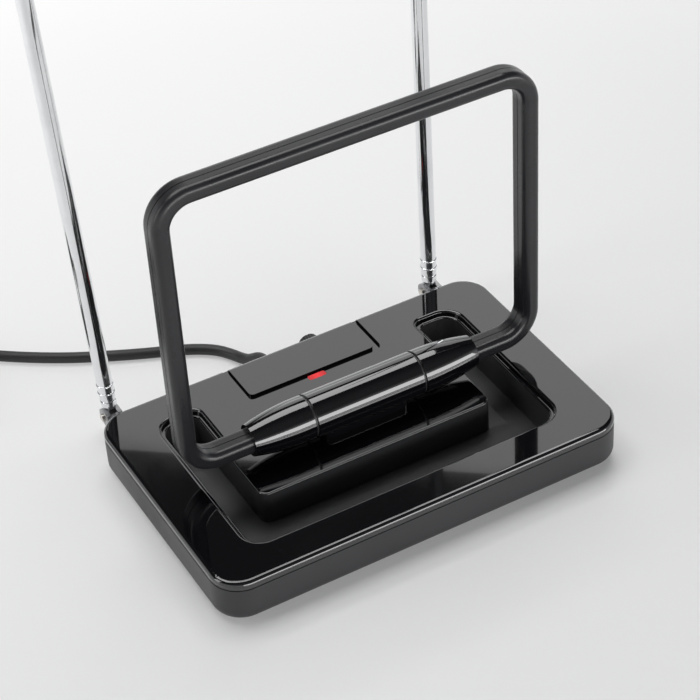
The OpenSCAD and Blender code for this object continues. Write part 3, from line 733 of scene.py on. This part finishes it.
@dataclass
class CoaxCable:
    """The cable from the gland to the plug, lying on the table and wound up behind the view."""

    thickness: float = 5.0
    shift: float = -9.5
    coil_centre: tuple[float, float] = (-150.0, 139.5)
    entry: float = 47.5
    turn_radius: float = 28.5
    first_height: float = 3.3
    pitch: float = 5.1
    layer_gap: float = 0.05
    layers: tuple[float, ...] = (1.5, 0.5, -0.5, -1.5, -0.5, 0.5, 1.5)
    turn_points: int = 24
    slide_start: float = 0.8333
    slide_share: float = 0.1667
    climb_turn: int = 3
    climb_start: float = 0.55
    climb_share: float = 0.28
    leave_degrees: float = 180.0
    slack: float = 1.008
    route: tuple[tuple[float, float, float], ...] = (
        (-8, 67, 10.5), (-8.15, 70, 10.2), (-8.7, 74, 8.77), (-9.4, 77.2, 6.5), (-10.4, 80.4, 4.25),
        (-11.9, 84.4, 2.85), (-14.2, 89.5, 2.5), (-18.4, 95.6, 2.5), (-25, 101, 2.5), (-33, 105.5, 2.5),
        (-43, 110, 2.5), (-53, 114.8, 2.5), (-63, 120, 2.5), (-74.5, 126.4, 2.5), (-87, 134.5, 2.5),
        (-99.7, 144, 2.5), (-112.4, 154.7, 2.5), (-119.4, 160.6, 2.8))
    tail: tuple[tuple[float, float, float], ...] = (
        (-186.0, 129.5, 8.0), (-186.0, 119.5, 6.5), (-186.0, 110.5, 5.6))

    def turns(self) -> list[tuple[float, float, float]]:
        """Four turns inward on the table, then outward on top of them.

        Returns:
            Points of the winding, in millimetres.
        """
        radii = [self.turn_radius + k * self.pitch for k in self.layers]
        final, points = len(radii) - 1, []
        for turn, radius_here in enumerate(radii):
            count = self.turn_points
            if turn == final:
                count = round(count * (self.leave_degrees - self.entry) / 360) + 1
            for i in range(count):
                share = i / self.turn_points
                slide, rise = 0.0, 0.0 if turn < self.climb_turn else 1.0
                if turn < final:
                    slide = ease(max(0.0, (share - self.slide_start) / self.slide_share))
                if turn == self.climb_turn:
                    rise = ease(min(1.0, max(0.0, (share - self.climb_start) / self.climb_share)))
                radius = radius_here + (radii[min(turn + 1, final)] - radius_here) * slide
                angle = math.radians(self.entry) + 2 * math.pi * share
                if turn == final and i == count - 1:
                    angle = math.radians(self.leave_degrees)
                points.append((self.coil_centre[0] + radius * math.cos(angle),
                               self.coil_centre[1] + radius * math.sin(angle),
                               self.first_height + rise * (self.pitch + self.layer_gap)))
        return points

    def line(self) -> list[Vector]:
        """The whole centre line in metres, in the row frame."""
        points = [*self.route, *self.turns(), *self.tail]
        return [Vector((x, y + self.shift, z)) * MM for x, y, z in points]

    def build(self) -> bpy.types.Object:
        """Makes the cable as one round curve.

        Returns:
            The cable piece.
        """
        line = self.line()
        curve = bpy.data.curves.new("aerial_cable", "CURVE")
        curve.dimensions = "3D"
        curve.resolution_u = 3
        curve.bevel_depth = self.thickness / 2 * MM
        curve.bevel_resolution = 5
        curve.use_fill_caps = True
        spline = curve.splines.new("BEZIER")
        spline.bezier_points.add(len(line) - 1)
        for i, (knot, point) in enumerate(zip(spline.bezier_points, line)):
            before, after = line[max(0, i - 1)], line[min(len(line) - 1, i + 1)]
            way = (after - before).normalized()
            if i == 0:
                way = Vector((0, 1, 0))
            if i == len(line) - 1:
                way = Vector((0, -1, 0))
            knot.co = point
            knot.handle_left = point - way * (point - before).length / 3
            knot.handle_right = point + way * (after - point).length / 3
        piece = bpy.data.objects.new("aerial_cable", curve)
        bpy.context.scene.collection.objects.link(piece)
        piece.data.materials.append(Finishes.VINYL.value.material())
        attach(piece, "base")
        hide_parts("coax_cable", "cable_coil", "coax_tail")
        self.length(line)
        return report(piece, f"cable of {self.length(line):.3f} m")

    def length(self, line: list[Vector]) -> float:
        """Length of the centre line, a little longer than its chords."""
        return round(sum((b - a).length for a, b in zip(line, line[1:])) * self.slack, 3)


# -------------------------------------------------------------------- studio


@dataclass
class Viewpoint:
    """The camera at the photograph's viewing angle."""

    place: tuple[float, float, float] = (-0.3244895, -0.6363018, 0.6284451)
    right: tuple[float, float, float] = (0.8650197871754239, -0.49964963985788863, -0.045727510153804996)
    down: tuple[float, float, float] = (-0.34643512245409874, -0.5288591399625071, -0.7747843028923153)
    ahead: tuple[float, float, float] = (0.3629372862151225, 0.6860453683744242, -0.6305698048644597)
    lens: float = 115.654
    shift: tuple[float, float] = (-0.02768, 0.01076)

    def build(self) -> bpy.types.Object:
        """Makes the camera and returns it."""
        data = bpy.data.cameras.new("viewpoint")
        data.sensor_width = 36.0
        data.lens = self.lens
        data.shift_x, data.shift_y = self.shift
        data.clip_start, data.clip_end = 0.02, 30.0
        camera = bpy.data.objects.new("viewpoint", data)
        bpy.context.scene.collection.objects.link(camera)
        turn = Matrix((self.right, [-v for v in self.down], [-v for v in self.ahead])).transposed()
        camera.matrix_world = Matrix.Translation(self.place) @ turn.to_4x4()
        bpy.context.scene.camera = camera
        return camera


@dataclass
class SoftBox:
    """One rectangular lamp."""

    name: str
    place: tuple[float, float, float]
    target: tuple[float, float, float]
    size: tuple[float, float]
    watts: float
    roll: float = 0.0

    def build(self) -> bpy.types.Object:
        """Makes the lamp and returns it."""
        data = bpy.data.lights.new(self.name, "AREA")
        data.shape = "RECTANGLE"
        data.size, data.size_y = self.size
        data.energy = self.watts
        lamp = bpy.data.objects.new(self.name, data)
        bpy.context.scene.collection.objects.link(lamp)
        aim = (Vector(self.target) - Vector(self.place)).to_track_quat("-Z", "Y").to_matrix().to_4x4()
        roll = Matrix.Rotation(math.radians(self.roll), 4, "Z")
        lamp.matrix_world = Matrix.Translation(self.place) @ aim @ roll
        return lamp


@dataclass
class Studio:
    """Pale floor, a bright horizon under a dim ceiling, and soft lamps."""

    floor_tone: float = 0.82
    floor_half: float = 6.0
    floor_rough: float = 0.3
    mottle_grain: float = 40.0
    mottle_rough: float = 0.05
    back_share: float = 0.9
    side_share: float = 0.35
    back_range: Range = (-0.25, 0.6)
    reach_range: Range = (0.3, 0.85)
    air_colour: Colour = (0.97, 0.985, 1.0)
    horizon: float = 0.85
    ceiling: float = 0.038
    ceiling_range: Range = (0.2, 0.5)
    front_air: float = 0.08
    front_range: Range = (0.0, -0.7)
    lamps: tuple[SoftBox, ...] = (
        SoftBox("sky_panel", (0.0, 0.5, 1.7), (0.0, 0.0, 0.0), (1.9, 1.0), 22.0),
        SoftBox("rear_panel", (0.92, 1.2, 1.03), (0.92, 0.0, 1.03), (1.7, 0.7), 4.3, -29.6),
        SoftBox("front_panel", (0.4, -1.4, 0.23), (0.0, 0.0, 0.03), (1.9, 0.44), 14.0),
        SoftBox("left_panel", (-1.6, 0.3, 0.7), (0.0, 0.0, 0.05), (0.5, 1.1), 4.0))

    def floor(self) -> bpy.types.Object:
        """Makes the floor, whiter behind the object and far out all round, for the eye only.

        Returns:
            The floor.
        """
        data = bpy.data.meshes.new("studio_floor")
        half = self.floor_half
        corners = [(-half, -half, 0), (half, -half, 0), (half, half, 0), (-half, half, 0)]
        data.from_pydata(corners, [], [(0, 1, 2, 3)])
        floor = bpy.data.objects.new("studio_floor", data)
        bpy.context.scene.collection.objects.link(floor)
        s = Sheet("studio_floor_pale")
        where = s.parts(s.spot())
        across, back = where.out("X"), where.out("Y")
        rough = self.floor_rough + s.noise(self.mottle_grain) * self.mottle_rough
        plain = s.shader(Base_Color=(self.floor_tone,) * 3, Roughness=rough, IOR=1.45)
        bright = s.node("ShaderNodeEmission", {}, {"Color": (1.0, 1.0, 1.0), "Strength": 1.0})
        rays = s.node("ShaderNodeLightPath")
        mirrored = rays.out("Is Glossy Ray") + rays.out("Is Transmission Ray")
        seen = (rays.out("Is Camera Ray") + mirrored).clamp()
        depth = back * self.back_share - across * self.side_share
        reach = (across * across + back * back) ** 0.5
        far = (s.band(depth, *self.back_range) + s.band(reach, *self.reach_range)).clamp()
        data.materials.append(s.done(s.node("ShaderNodeMixShader", {}, {0: seen * far, 1: plain, 2: bright})))
        return floor

    def surroundings(self) -> bpy.types.World:
        """Makes the room, bright low down, dim overhead and a little lighter in front.

        Returns:
            The room's world.
        """
        s = Sheet("studio_air", sky=True)
        way = s.parts(s.node("ShaderNodeTexCoord").out("Generated"))
        height = s.band(way.out("Z"), *self.ceiling_range, self.horizon, self.ceiling)
        level = height + s.band(way.out("Y"), *self.front_range) * self.front_air
        return s.done(s.node("ShaderNodeBackground", {}, {"Color": self.air_colour, "Strength": level}))

    def build(self) -> None:
        """Makes the floor, the surroundings and the lamps."""
        self.floor()
        bpy.context.scene.world = self.surroundings()
        for lamp in self.lamps:
            lamp.build()
        bpy.context.scene.view_settings.view_transform = "Standard"


def main() -> None:
    """Builds the view, the cable, the finishes, the rod trim and the studio."""
    logging.basicConfig(level=logging.INFO, format="%(message)s")
    Viewpoint().build()
    CoaxCable().build()
    dress = NodeDress()
    for name, node in sorted(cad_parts.items()):
        if not node.hide_render:
            dress.dress(node)
    for side in RodSide:
        RodTrim(side).build()
    Studio().build()


if __name__ == "__main__":
    main()
